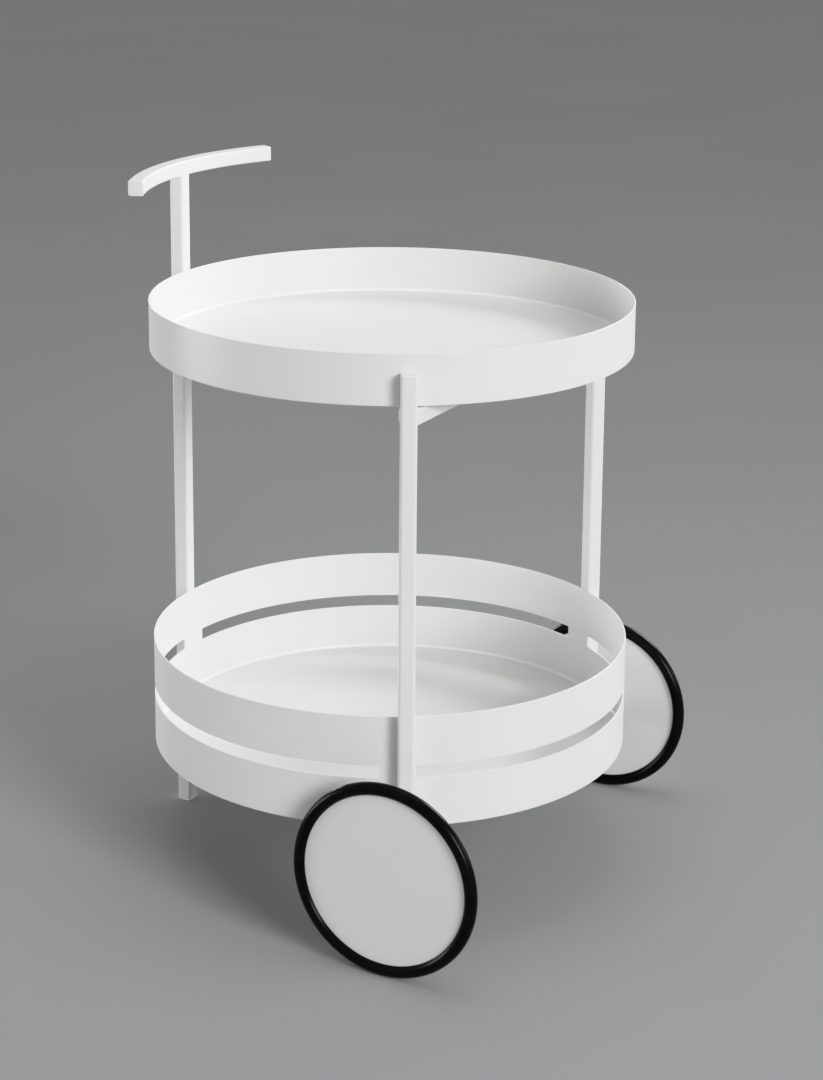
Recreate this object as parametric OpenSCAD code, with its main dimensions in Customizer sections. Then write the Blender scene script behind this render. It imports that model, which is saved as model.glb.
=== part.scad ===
// Two-tier round bar cart: three square uprights, two disc wheels and a curved push handle.
// The axle runs along X, the wheels stand at the -Y side, the handle at the +Y side, and Z is up.
// All lengths are in millimetres.

/* [Trays] */
// Outer diameter of both trays
tray_d = 500; // [400:10:600]
// Thickness of the tray sheet
sheet = 1.5; // [1:0.1:2.5]
// Radius of the weld fillet between a tray's floor and wall
floor_fillet = 5; // [2:0.5:8]
// Height of the upper tray's rim above the ground
upper_rim_z = 612; // [540:1:680]
// Height of the upper tray's wall
upper_wall = 51; // [35:1:80]
// Height of the lower tray's rim above the ground
lower_rim_z = 250; // [244:1:320]
// Height of the lower tray's wall
lower_wall = 115; // [95:1:120]

/* [Slots in the lower tray] */
// Depth of the slots' upper edge below the rim
slot_top = 51; // [30:1:70]
// Height of the slots
slot_h = 13; // [8:1:20]
// Length of plain wall left between two slots
slot_land = 36; // [24:1:80]
// Corner radius of the slots
slot_corner = 1.5; // [0.5:0.1:3]

/* [Frame] */
// Width of the square tube
tube = 16; // [14:1:20]
// Wall of the square tube
tube_wall = 1.5; // [1:0.1:2]
// Outer corner radius of the square tube
tube_corner = 2.5; // [2.2:0.1:4]
// Angle of each wheel leg from the middle of the wheel side
leg_angle = 58.4; // [50:0.2:62]
// Gap between the uprights and the tray walls
upright_gap = 0.3; // [0.2:0.1:1]
// Depth of the wheel legs' tops below the upper rim
leg_drop = 18; // [6:1:40]
// Diameter of the holes for the tray studs
stud_hole_d = 5.5; // [5.2:0.1:7]
// Distance of the outer seats from the cart's middle
seat_x = 150; // [80:5:165]
// Distance of the near seat from the tray axis, towards the wheels
seat_near = 20; // [0:5:60]
// Distance of the far seat from the tray axis, towards the handle
seat_far = 170; // [60:5:185]

/* [Handle] */
// Height of the handle's top above the ground
handle_top_z = 731; // [660:1:860]
// Length of the handle, end to end
handle_w = 260; // [160:5:320]
// Radius of the handle's curve at its middle line
handle_r = 285; // [240:5:600]
// Thickness of the plates that close the handle's ends
end_plate = 2; // [1:0.5:4]

/* [Caps and foot] */
// Thickness of the caps on the wheel legs
cap_t = 1.5; // [1.5:0.5:5]
// Thickness of the foot under the handle post
foot_t = 4; // [3:0.5:10]
// Depth to which caps and foot plug into their tubes
plug_l = 14; // [8:1:25]
// Gap around a plug inside its tube
plug_gap = 0.15; // [0.1:0.05:0.4]
// Thickness of the rubber pads under the upper tray
pad_t = 1; // [0.5:0.5:3]
// Diameter of the rubber pads under the upper tray
pad_d = 10; // [6:1:14]

/* [Wheels] */
// Outer diameter of the wheels
wheel_d = 200; // [180:1:206]
// Diameter of the tyre's round section
tyre_d = 13; // [9:0.5:16]
// Depth of the groove in the tyre that holds the disc
tyre_groove = 7; // [4:0.5:8]
// Width of the butt joint in the tyre
tyre_joint = 0.5; // [0.2:0.1:1]
// Thickness of the wheel disc
disc_t = 3; // [2:0.5:4]
// Gap between the trays' widest line and the tyres
wheel_gap = 6.5; // [4:0.5:20]

/* [Wheel bearings] */
// Diameter of the axle stubs
axle_d = 12; // [10:0.5:14]
// Gap between an axle stub and its bushes, on the radius
running_gap = 0.05; // [0.02:0.01:0.1]
// Wall of the flanged bushes
bush_wall = 2; // [1.5:0.1:3]
// Length of a bush inside its sleeve
bush_l = 12; // [6:1:16]
// Diameter of the flanges on the bushes and of the thrust washers
flange_d = 20; // [18:0.5:24]
// Thickness of the flange on a bush
flange_t = 2; // [1:0.5:3]
// Thickness of a thrust washer
washer_t = 1; // [0.5:0.1:2]
// Play beside each thrust washer
end_play = 0.2; // [0.1:0.1:0.5]
// Outer diameter of the bearing sleeves
sleeve_d = 22; // [20:0.5:24]
// Length of sleeve on the inner side of a leg's middle
sleeve_tail = 16; // [12:1:30]
// Diameter of the hub plate behind a wheel disc
hub_d = 50; // [36:1:70]
// Thickness of the hub plate
hub_t = 4; // [2:0.5:5]
// Diameter of the hub's neck
neck_d = 20; // [17:0.5:26]
// Length of the hub's neck
neck_l = 6; // [3:0.5:8]
// Width across the flats of the lock nuts
nut_w = 19; // [17:0.5:22]
// Height of the lock nuts
nut_h = 12; // [8:0.5:14]

/* [Tray studs] */
// Diameter of the weld studs under the lower tray
stud_d = 5; // [4:0.5:5]
// Thickness of the washers under the lower bars
stud_washer_t = 1; // [0.5:0.1:2]
// Outer diameter of the washers under the lower bars
stud_washer_d = 10; // [8:0.5:14]
// Width across the flats of the cap nuts
cap_nut_w = 8; // [7:0.5:10]
// Height of the cap nuts' hexagon
cap_nut_h = 4; // [3:0.5:6]

/* [Hidden] */
$fn = 96;

// Height of the trays' undersides
upper_tray_z = upper_rim_z - upper_wall;
lower_tray_z = lower_rim_z - lower_wall;
// Radius of the circle on which the uprights' middles stand
tray_r = tray_d / 2;
leg_r = tray_r + upright_gap + tube / 2;
// Middle of the right wheel leg, from the tray axis
leg_x = leg_r * sin(leg_angle);
leg_y = -leg_r * cos(leg_angle);
// Shift that puts the middle of the whole cart over the origin
tray_y = -(leg_r + tube / 2 - tray_r) / 2;
// Undersides of the bars that carry the trays
upper_bar_z = upper_tray_z - pad_t - tube;
lower_bar_z = lower_tray_z - tube;
// Places where the trays sit on the bars
seats = [[-seat_x, leg_y], [seat_x, leg_y], [0, -seat_near], [0, seat_far]];
// Inner width of the square tube and its corner radius
tube_bore = tube - 2 * tube_wall;
bore_corner = tube_corner - tube_wall;
// Angles where the lower tray's wall stays plain, and half the angle of a plain stretch
land_angles = [90, 210, 330];
land_half = slot_land / tray_d * 180 / PI;
// The middle of a slot is lower than its ends by this step above and below, so that no faces coincide
band_step = 0.02;
// Half angle of the handle tube, without its end plates
handle_half = asin(handle_w / 2 / handle_r) - end_plate / handle_r * 180 / PI;
// Wheel stack, from the middle of the right tyre inwards
axle_z = wheel_d / 2;
wheel_x = tray_r + wheel_gap + tyre_d / 2;
disc_r = wheel_d / 2 - tyre_d + tyre_groove;
disc_in = wheel_x - disc_t / 2;
hub_in = disc_in - hub_t;
neck_in = hub_in - neck_l;
sleeve_out = neck_in - washer_t - end_play - flange_t;
sleeve_in = leg_x - sleeve_tail;
inner_washer = sleeve_in - flange_t - end_play - washer_t;
nut_in = inner_washer - nut_h;
axle_in = nut_in - 2;
sleeve_bore = axle_d + 2 * running_gap + 2 * bush_wall;

powder_white = [0.93, 0.93, 0.92];
plastic_white = [0.88, 0.88, 0.86];
steel = [0.72, 0.73, 0.75];
zinc = [0.78, 0.78, 0.76];
rubber_black = [0.05, 0.05, 0.05];
nylon = [0.85, 0.85, 0.8];

// Everything is drawn about the tray axis and then moved so that the cart's middle is the origin
module about_trays() {
    translate([0, tray_y, 0]) children();
}

// Children are drawn for the right side, and mirrored for the left one
module on_side(side) {
    about_trays() mirror([side < 0 ? 1 : 0, 0, 0]) children();
}

// Children stand along Z, and are laid along X at the height of the wheels' middles
module along_axle(x) {
    translate([x, leg_y, axle_z]) rotate([0, 90, 0]) children();
}

module rounded_square(width, corner) {
    square([width - 2 * corner, width], center = true);
    square([width, width - 2 * corner], center = true);
    for (x = [-1, 1], y = [-1, 1])
        translate([x * (width / 2 - corner), y * (width / 2 - corner)]) circle(corner, $fn = 32);
}

module tube_profile() {
    difference() {
        rounded_square(tube, tube_corner);
        rounded_square(tube_bore, bore_corner);
    }
}

module square_tube(length) {
    linear_extrude(length) tube_profile();
}

// Outer form of an upright, used to cut what butts against it
module upright_form(angle, z, length) {
    rotate([0, 0, angle]) translate([leg_r, 0, z])
        linear_extrude(length) rounded_square(tube, tube_corner);
}

// Plug with a head, standing on its head's outer face
module plug_with_head(head) {
    linear_extrude(head) rounded_square(tube, tube_corner);
    translate([0, 0, head])
        linear_extrude(plug_l) rounded_square(tube_bore - 2 * plug_gap, bore_corner);
}

// Ring with a square section, standing on z = 0
module ring(outer_d, inner_d, height) {
    difference() {
        cylinder(d = outer_d, h = height);
        translate([0, 0, -1]) cylinder(d = inner_d, h = height + 2);
    }
}

// Rolled wall of a tray, with a rounded rim and a lightly rounded lower edge
module tray_wall(height) {
    edge = sheet * 0.6;
    rotate_extrude($fn = 180) {
        translate([tray_r - sheet, edge]) square([sheet, height - edge - sheet / 2]);
        translate([tray_r - sheet, 0]) square([sheet - edge, edge]);
        translate([tray_r - edge, edge]) intersection() {
            circle(edge, $fn = 16);
            translate([0, -edge]) square(edge);
        }
        translate([tray_r - sheet / 2, height - sheet / 2]) intersection() {
            circle(sheet / 2, $fn = 16);
            translate([-sheet / 2, 0]) square([sheet, sheet / 2]);
        }
    }
}

// Flat floor of a tray with the fillet that joins it to the wall
module tray_floor() {
    inside = tray_r - sheet;
    rotate_extrude($fn = 256) {
        square([inside, sheet]);
        translate([inside - floor_fillet, sheet]) difference() {
            square(floor_fillet);
            translate([0, floor_fillet]) circle(floor_fillet, $fn = 48);
        }
    }
}

// End of a slot at the stated angle: a block through the wall with rounded corners
module slot_end(turn, z) {
    rotate([0, 0, turn]) translate([tray_r - sheet - 2, 0, z + slot_h / 2])
        rotate([90, 0, 90]) linear_extrude(sheet + 4) rounded_square(slot_h, slot_corner);
}

// One slot between two plain stretches: two ends, and the curved band that joins them
module tray_slot(land_angle) {
    end_half = asin(slot_h / 2 / tray_r);
    from_angle = land_angle + land_half + end_half;
    to_angle = land_angle + 120 - land_half - end_half;
    slot_z = lower_wall - slot_top - slot_h;
    slot_end(from_angle, slot_z);
    slot_end(to_angle, slot_z);
    rotate([0, 0, from_angle]) rotate_extrude(angle = to_angle - from_angle, $fn = 180)
        translate([tray_r - sheet - 2, slot_z + band_step]) square([sheet + 4, slot_h - 2 * band_step]);
}

module upper_tray_wall() {
    color(powder_white) about_trays() translate([0, 0, upper_tray_z]) tray_wall(upper_wall);
}

module upper_tray_floor() {
    color(powder_white) about_trays() translate([0, 0, upper_tray_z]) tray_floor();
}

module lower_tray_wall() {
    color(powder_white) about_trays() translate([0, 0, lower_tray_z]) difference() {
        tray_wall(lower_wall);
        for (angle = land_angles) tray_slot(angle);
    }
}

module lower_tray_floor() {
    color(powder_white) about_trays() translate([0, 0, lower_tray_z]) tray_floor();
}

// Studs welded under the lower tray pass down through the bars
module lower_tray_studs() {
    stud_l = tube + stud_washer_t + cap_nut_h;
    color(zinc) about_trays() for (seat = seats)
        translate([seat[0], seat[1], lower_tray_z - stud_l]) cylinder(d = stud_d, h = stud_l, $fn = 32);
}

module stud_washers() {
    color(zinc) about_trays() for (seat = seats)
        translate([seat[0], seat[1], lower_bar_z - stud_washer_t])
            ring(stud_washer_d, stud_hole_d, stud_washer_t);
}

// Hexagon nuts with a dome that covers the stud's end
module cap_nuts() {
    nut_z = lower_bar_z - stud_washer_t - cap_nut_h;
    dome_d = cap_nut_w * 0.94;
    color(zinc) about_trays() for (seat = seats) translate([seat[0], seat[1], nut_z]) difference() {
        union() {
            cylinder(d = cap_nut_w / cos(30), h = cap_nut_h, $fn = 6);
            intersection() {
                sphere(d = dome_d, $fn = 48);
                translate([0, 0, -dome_d]) cylinder(d = dome_d + 2, h = dome_d);
            }
        }
        cylinder(d = stud_d, h = cap_nut_h + 1, $fn = 32);
    }
}

// Pads on the upper bars, on which the lift-off tray rests
module tray_pads() {
    color(rubber_black) about_trays() for (seat = seats)
        translate([seat[0], seat[1], upper_tray_z - pad_t]) cylinder(d = pad_d, h = pad_t, $fn = 48);
}

// Wheel leg, cut at its lower end to sit on the bearing sleeve
module wheel_leg(side) {
    leg_top = upper_rim_z - leg_drop - cap_t;
    color(powder_white) on_side(side) difference() {
        rotate([0, 0, leg_angle - 90]) translate([leg_r, 0, axle_z]) square_tube(leg_top - axle_z);
        along_axle(leg_x - tube) cylinder(d = sleeve_d, h = 2 * tube);
    }
}

module left_leg() {
    wheel_leg(-1);
}

module right_leg() {
    wheel_leg(1);
}

module leg_caps() {
    color(plastic_white) for (side = [-1, 1]) on_side(side)
        rotate([0, 0, leg_angle - 90]) translate([leg_r, 0, upper_rim_z - leg_drop]) mirror([0, 0, 1])
            plug_with_head(cap_t);
}

module handle_post() {
    color(powder_white) about_trays()
        translate([0, leg_r, foot_t]) square_tube(handle_top_z - tube - foot_t);
}

module post_foot() {
    color(plastic_white) about_trays() translate([0, leg_r, 0]) plug_with_head(foot_t);
}

module handle_bar() {
    color(powder_white) about_trays() translate([0, leg_r - handle_r, handle_top_z - tube / 2])
        rotate([0, 0, 90 - handle_half]) rotate_extrude(angle = 2 * handle_half, $fn = 256)
            translate([handle_r, 0]) tube_profile();
}

module handle_end_plates() {
    color(powder_white) for (side = [-1, 1]) on_side(side)
        translate([0, leg_r - handle_r, handle_top_z - tube / 2])
            rotate([0, 0, 90 - handle_half]) translate([handle_r, 0, 0]) rotate([90, 0, 0])
                linear_extrude(end_plate) rounded_square(tube, tube_corner);
}

// Bar from leg to leg, with its ends cut to the legs' faces
module cross_bar(z) {
    about_trays() difference() {
        translate([-leg_x, leg_y, z + tube / 2]) rotate([0, 90, 0]) square_tube(2 * leg_x);
        for (angle = [-90 - leg_angle, -90 + leg_angle]) upright_form(angle, z - 1, tube + 2);
    }
}

// Bar from the cross bar to the handle post
module spine_bar(z) {
    start = leg_y + tube / 2;
    about_trays() translate([0, start, z + tube / 2]) rotate([-90, 0, 0])
        square_tube(leg_r - tube / 2 - start);
}

module seat_holes(z) {
    about_trays() for (seat = seats)
        translate([seat[0], seat[1], z - 1]) cylinder(d = stud_hole_d, h = tube + 2, $fn = 32);
}

module upper_cross_bar() {
    color(powder_white) cross_bar(upper_bar_z);
}

module upper_spine_bar() {
    color(powder_white) spine_bar(upper_bar_z);
}

module lower_cross_bar() {
    color(powder_white) difference() {
        cross_bar(lower_bar_z);
        seat_holes(lower_bar_z);
    }
}

module lower_spine_bar() {
    color(powder_white) difference() {
        spine_bar(lower_bar_z);
        seat_holes(lower_bar_z);
    }
}

// Sleeve on which the leg stands, bored for the two bushes
module sleeve(side) {
    color(powder_white) on_side(side)
        along_axle(sleeve_in) ring(sleeve_d, sleeve_bore, sleeve_out - sleeve_in);
}

// Two flanged bushes, pressed into the sleeve from its ends
module bushes(side) {
    bore = axle_d + 2 * running_gap;
    color(nylon) on_side(side) {
        along_axle(sleeve_out - bush_l) ring(sleeve_bore, bore, bush_l + flange_t);
        along_axle(sleeve_out) ring(flange_d, sleeve_bore, flange_t);
        along_axle(sleeve_in - flange_t) ring(sleeve_bore, bore, bush_l + flange_t);
        along_axle(sleeve_in - flange_t) ring(flange_d, sleeve_bore, flange_t);
    }
}

module wheel_disc(side) {
    color(plastic_white) on_side(side) along_axle(disc_in) cylinder(r = disc_r, h = disc_t, $fn = 256);
}

// Round rubber edging, grooved for the disc and butted at one place
module tyre(side, joint_turn) {
    ring_r = wheel_d / 2 - tyre_d / 2;
    color(rubber_black) on_side(side) along_axle(wheel_x) difference() {
        rotate_extrude($fn = 256) difference() {
            translate([ring_r, 0]) circle(tyre_d / 2, $fn = 48);
            translate([disc_r - tyre_d, -disc_t / 2]) square([tyre_d, disc_t]);
        }
        rotate([0, 0, joint_turn]) translate([ring_r - tyre_d, -tyre_joint / 2, -tyre_d])
            cube([2 * tyre_d, tyre_joint, 2 * tyre_d]);
    }
}

// Plate and neck, welded behind the disc and around the axle stub
module hub(side) {
    color(steel) on_side(side) difference() {
        union() {
            along_axle(hub_in) cylinder(d = hub_d, h = hub_t);
            along_axle(neck_in) cylinder(d = neck_d, h = neck_l);
        }
        along_axle(neck_in - 1) cylinder(d = axle_d, h = neck_l + hub_t + 2);
    }
}

module axle(side) {
    color(steel) on_side(side) along_axle(axle_in) cylinder(d = axle_d, h = disc_in - axle_in);
}

module thrust_washers(side) {
    color(nylon) on_side(side) for (x = [inner_washer, neck_in - washer_t])
        along_axle(x) ring(flange_d, axle_d, washer_t);
}

// Hexagon with a round collar for its locking ring
module lock_nut(side) {
    collar = nut_h / 4;
    color(zinc) on_side(side) difference() {
        union() {
            along_axle(nut_in + collar) cylinder(d = nut_w / cos(30), h = nut_h - collar, $fn = 6);
            along_axle(nut_in) cylinder(d = nut_w * 0.9, h = collar);
        }
        along_axle(nut_in - 1) cylinder(d = axle_d, h = nut_h + 2);
    }
}

upper_tray_wall();
upper_tray_floor();
lower_tray_wall();
lower_tray_floor();
lower_tray_studs();
stud_washers();
cap_nuts();
tray_pads();
left_leg();
right_leg();
leg_caps();
handle_post();
post_foot();
handle_bar();
handle_end_plates();
upper_cross_bar();
upper_spine_bar();
lower_cross_bar();
lower_spine_bar();
sleeve(-1);  // left_sleeve
bushes(-1);  // left_bushes
wheel_disc(-1);  // left_disc
tyre(-1, 90);  // left_tyre
hub(-1);  // left_hub
axle(-1);  // left_axle
thrust_washers(-1);  // left_thrust_washers
lock_nut(-1);  // left_lock_nut
sleeve(1);  // right_sleeve
bushes(1);  // right_bushes
wheel_disc(1);  // right_disc
tyre(1, 0);  // right_tyre
hub(1);  // right_hub
axle(1);  // right_axle
thrust_washers(1);  // right_thrust_washers
lock_nut(1);  // right_lock_nut
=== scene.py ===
from math import asin, cos, pi, radians, sin, sqrt, tau

import bmesh
import bpy
from mathutils import Matrix, Vector


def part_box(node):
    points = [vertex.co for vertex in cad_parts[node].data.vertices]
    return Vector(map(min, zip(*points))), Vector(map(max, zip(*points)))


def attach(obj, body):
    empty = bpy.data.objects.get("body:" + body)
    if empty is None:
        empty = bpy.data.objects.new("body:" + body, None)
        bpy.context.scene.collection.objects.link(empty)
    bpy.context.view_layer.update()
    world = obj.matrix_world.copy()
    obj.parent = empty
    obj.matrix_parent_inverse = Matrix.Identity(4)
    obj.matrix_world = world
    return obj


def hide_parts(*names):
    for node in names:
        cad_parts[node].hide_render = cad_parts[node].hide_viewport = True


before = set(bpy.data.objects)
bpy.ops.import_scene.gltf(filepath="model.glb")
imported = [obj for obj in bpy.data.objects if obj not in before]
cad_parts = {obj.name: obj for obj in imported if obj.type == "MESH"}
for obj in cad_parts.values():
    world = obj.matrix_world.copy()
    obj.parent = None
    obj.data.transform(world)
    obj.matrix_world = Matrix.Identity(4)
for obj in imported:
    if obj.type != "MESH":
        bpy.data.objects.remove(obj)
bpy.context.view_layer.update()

scene = bpy.context.scene
print("the packed frame is loaded")

# camera, light and tones

cameraSet = {
    "place": (-2.2313, -1.1963, 1.1764),
    "heading": 62.422,       # degrees from +Y towards +X
    "tilt": 13.814,          # degrees below the horizon
    "roll": 0.50,
    "lens": 83.80,
    "sensor": 36.0,
    "shiftDown": 0.1764,
    "sight": 200.0,          # sees past the floor's far edge
}


def makeCamera():
    data = bpy.data.cameras.new("camera")
    data.lens = cameraSet["lens"]
    data.sensor_width = cameraSet["sensor"]
    data.shift_y = -cameraSet["shiftDown"]
    data.clip_end = cameraSet["sight"]
    camera = bpy.data.objects.new("camera", data)
    camera.location = cameraSet["place"]
    turn = Matrix.Rotation(radians(-cameraSet["heading"]), 3, "Z") @ \
        Matrix.Rotation(radians(90 - cameraSet["tilt"]), 3, "X") @ \
        Matrix.Rotation(radians(cameraSet["roll"]), 3, "Z")
    camera.rotation_euler = turn.to_euler()
    scene.collection.objects.link(camera)
    scene.camera = camera


lightSet = {
    # name: (direction seen from above in degrees, height, distance, width, watts)
    "keyBox": (-118, 2.48, 5.6, 2.4, 230),
    "sideBox": (-17, 1.92, 2.6, 1.2, 67),
    "rearBox": (60, 0.9, 2.6, 0.8, 32),
    "leftCard": (114, 0.25, 2.5, 1.2, 28),
    "rightCard": (-55, 1.0, 2.8, 1.0, 12),
    "topBox": (0, 3.0, 0.02, 1.6, 10),
}
# these are flagged off the floor, so that it stays even behind the cart
offFloor = ("sideBox", "rearBox", "leftCard", "rightCard")
coolLamps = ("sideBox", "rearBox", "topBox")
coolColour = (0.965, 0.98, 1.0)
aimHeight = 0.42
worldGlow = 0.515
worldColour = (0.752, 0.746, 0.733)


def makeLights(floor):
    flagged = bpy.data.collections.new("flagged")
    flagged.objects.link(floor)
    flagged.collection_objects[0].light_linking.link_state = "EXCLUDE"
    for name, (direction, height, distance, width, watts) in lightSet.items():
        data = bpy.data.lights.new(name, "AREA")
        data.shape = "DISK"
        data.size = width
        data.energy = watts
        if name in coolLamps:
            data.color = coolColour
        lamp = bpy.data.objects.new(name, data)
        turn = radians(direction)
        lamp.location = (distance * cos(turn), distance * sin(turn), height)
        aim = Vector((0, 0, aimHeight)) - lamp.location
        lamp.rotation_euler = aim.to_track_quat("-Z", "Y").to_euler()
        scene.collection.objects.link(lamp)
        if name in offFloor:
            lamp.light_linking.receiver_collection = flagged
    world = bpy.data.worlds.new("studio")
    world.use_nodes = True
    backdrop = world.node_tree.nodes["Background"]
    backdrop.inputs["Color"].default_value = (*worldColour, 1)
    backdrop.inputs["Strength"].default_value = worldGlow
    scene.world = world


# soft shoulder of the picture's tones, so that the brightest white keeps its shape
toneSet = {
    "white": 2.0,
    "points": ((0.10, 0.20), (0.20, 0.40), (0.30, 0.60), (0.35, 0.689), (0.40, 0.757),
               (0.45, 0.811), (0.50, 0.853), (0.60, 0.911), (0.70, 0.946), (0.80, 0.967)),
    "end": (1.0, 0.988),
}


def setTones():
    view = scene.view_settings
    view.view_transform = "Standard"
    view.use_curve_mapping = True
    mapping = view.curve_mapping
    mapping.white_level = (toneSet["white"],) * 3
    curve = mapping.curves[3]
    curve.points[-1].location = toneSet["end"]
    for across, up in toneSet["points"]:
        curve.points.new(across, up)
    mapping.update()


# materials

noiseLow, noiseHigh = 0.3, 0.7  # nearly all values of a noise lie between these


def startMaterial(name):
    material = bpy.data.materials.new(name)
    material.use_nodes = True
    tree = material.node_tree
    place = tree.nodes.new("ShaderNodeTexCoord").outputs["Object"]
    return material, tree, tree.nodes["Principled BSDF"].inputs, place


def addNoise(tree, place, scale, detail=2.0, stretch=None):
    if stretch:
        mapping = tree.nodes.new("ShaderNodeMapping")
        mapping.inputs["Scale"].default_value = stretch
        tree.links.new(place, mapping.inputs["Vector"])
        place = mapping.outputs["Vector"]
    noise = tree.nodes.new("ShaderNodeTexNoise")
    noise.inputs["Scale"].default_value = scale
    noise.inputs["Detail"].default_value = detail
    tree.links.new(place, noise.inputs["Vector"])
    return noise.outputs["Fac"]


def addRamp(tree, value, first, last, start=noiseLow, end=noiseHigh):
    ramp = tree.nodes.new("ShaderNodeValToRGB")
    ramp.color_ramp.elements[0].position = start
    ramp.color_ramp.elements[1].position = end
    ramp.color_ramp.elements[0].color = (*first, 1)
    ramp.color_ramp.elements[1].color = (*last, 1)
    tree.links.new(value, ramp.inputs["Fac"])
    return ramp.outputs["Color"]


def addRange(tree, value, low, high):
    spread = tree.nodes.new("ShaderNodeMapRange")
    spread.inputs["From Min"].default_value = noiseLow
    spread.inputs["From Max"].default_value = noiseHigh
    spread.inputs["To Min"].default_value = low
    spread.inputs["To Max"].default_value = high
    tree.links.new(value, spread.inputs["Value"])
    return spread.outputs["Result"]


def addBump(tree, height, distance, under=None):
    bump = tree.nodes.new("ShaderNodeBump")
    bump.inputs["Strength"].default_value = 1.0
    bump.inputs["Distance"].default_value = distance
    tree.links.new(height, bump.inputs["Height"])
    if under:
        tree.links.new(under, bump.inputs["Normal"])
    return bump.outputs["Normal"]


powderCoatSet = {
    "pale": (0.805, 0.806, 0.803),
    "shade": (0.785, 0.785, 0.780),
    "cloudScale": 7.0,       # slow change of tone over the sheet
    "roughness": (0.34, 0.42),
    "peelScale": 900.0,      # orange peel, about a millimetre across
    "peelHeight": 0.000022,
    "grainScale": 5200.0,    # fine powder grain
    "grainHeight": 0.000006,
    "warmShares": (0, 0.3, 1),  # what a warmer coat gives up of red, green and blue
}


def tintCoat(colour, tint, warmth):
    return tuple(tint * own - warmth * share
                 for own, share in zip(colour, powderCoatSet["warmShares"]))


def makePowderCoat(name, tint=1.0, warmth=0.0, roughness=powderCoatSet["roughness"]):
    material, tree, shader, place = startMaterial(name)
    cloud = addNoise(tree, place, powderCoatSet["cloudScale"], detail=3.0)
    pale = tintCoat(powderCoatSet["pale"], tint, warmth)
    shade = tintCoat(powderCoatSet["shade"], tint, warmth)
    tree.links.new(addRamp(tree, cloud, shade, pale), shader["Base Color"])
    peel = addNoise(tree, place, powderCoatSet["peelScale"], detail=1.0)
    grain = addNoise(tree, place, powderCoatSet["grainScale"], detail=1.0)
    tree.links.new(addRange(tree, peel, *roughness), shader["Roughness"])
    fine = addBump(tree, grain, powderCoatSet["grainHeight"])
    tree.links.new(addBump(tree, peel, powderCoatSet["peelHeight"], under=fine), shader["Normal"])
    return material


plasticSet = {
    "cap": ((0.86, 0.86, 0.85), (0.90, 0.90, 0.89)),
    "capDepth": 0.05,        # how much of the light goes in below the skin
    "nylon": ((0.72, 0.70, 0.62), (0.80, 0.78, 0.70)),
    "nylonDepth": 0.2,
    "lightReach": (0.002, 0.0018, 0.0014),
    "cloudScale": 60.0,
    "roughness": (0.42, 0.55),
    "grainScale": 1800.0,
    "grainHeight": 0.00002,
}


def makePlastic(name, first, last, depth):
    material, tree, shader, place = startMaterial(name)
    cloud = addNoise(tree, place, plasticSet["cloudScale"], detail=3.0)
    tree.links.new(addRamp(tree, cloud, first, last), shader["Base Color"])
    grain = addNoise(tree, place, plasticSet["grainScale"])
    tree.links.new(addRange(tree, grain, *plasticSet["roughness"]), shader["Roughness"])
    tree.links.new(addBump(tree, grain, plasticSet["grainHeight"]), shader["Normal"])
    shader["Subsurface Weight"].default_value = depth
    shader["Subsurface Radius"].default_value = plasticSet["lightReach"]
    return material


rubberSet = {
    "dark": (0.0010, 0.0010, 0.0011),
    "worn": (0.0030, 0.0029, 0.0028),
    "wornSpan": (0.4, 0.75),
    "cloudScale": 38.0,
    "roughness": (0.17, 0.28),
    "shine": 0.09,
    "skinScale": 420.0,
    "skinHeight": 0.00005,
    "speckScale": 3600.0,
    "speckHeight": 0.00001,
}


def makeRubber(name):
    material, tree, shader, place = startMaterial(name)
    cloud = addNoise(tree, place, rubberSet["cloudScale"], detail=5.0)
    colour = addRamp(tree, cloud, rubberSet["dark"], rubberSet["worn"], *rubberSet["wornSpan"])
    tree.links.new(colour, shader["Base Color"])
    skin = addNoise(tree, place, rubberSet["skinScale"], detail=3.0)
    speck = addNoise(tree, place, rubberSet["speckScale"], detail=1.0)
    tree.links.new(addRange(tree, skin, *rubberSet["roughness"]), shader["Roughness"])
    fine = addBump(tree, speck, rubberSet["speckHeight"])
    tree.links.new(addBump(tree, skin, rubberSet["skinHeight"], under=fine), shader["Normal"])
    shader["Specular IOR Level"].default_value = rubberSet["shine"]
    return material


metalSet = {
    # colours from dark to pale, and how the lines are stretched
    "turned": ((0.50, 0.50, 0.51), (0.66, 0.66, 0.68), (30.0, 1.0, 1.0)),
    "plated": ((0.55, 0.56, 0.57), (0.72, 0.73, 0.72), (2.0, 2.0, 2.0)),
    "roughness": (0.22, 0.42),
    "lineScale": 60.0,
    "lineHeight": 0.00001,
}


def makeMetal(name, first, last, stretch):
    # lines left by turning, or the cloudy skin of a plated part
    material, tree, shader, place = startMaterial(name)
    lines = addNoise(tree, place, metalSet["lineScale"], detail=4.0, stretch=stretch)
    tree.links.new(addRamp(tree, lines, first, last), shader["Base Color"])
    tree.links.new(addRange(tree, lines, *metalSet["roughness"]), shader["Roughness"])
    tree.links.new(addBump(tree, lines, metalSet["lineHeight"]), shader["Normal"])
    shader["Metallic"].default_value = 1.0
    return material


powderCoat = makePowderCoat("powderCoat")
discCoat = makePowderCoat("discCoat", tint=0.97, warmth=0.004)
# the coat is painted paler along the trays' inner fillets, a painted highlight line that stands in
# for the light gathering in the corners, and it is glossier there
filletHighlightCoat = makePowderCoat("filletHighlightCoat", tint=1.13, roughness=(0.22, 0.29))
capPlastic = makePlastic("capPlastic", *plasticSet["cap"], plasticSet["capDepth"])
nylonPlastic = makePlastic("nylonPlastic", *plasticSet["nylon"], plasticSet["nylonDepth"])
tyreRubber = makeRubber("tyreRubber")
padRubber = makeRubber("padRubber")
turnedSteel = makeMetal("turnedSteel", *metalSet["turned"])
zincPlate = makeMetal("zincPlate", *metalSet["plated"])
print("materials are ready")


# shared modelling steps

mergeDistance = 1e-7
near = 1e-6              # places closer than this count as the same


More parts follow.
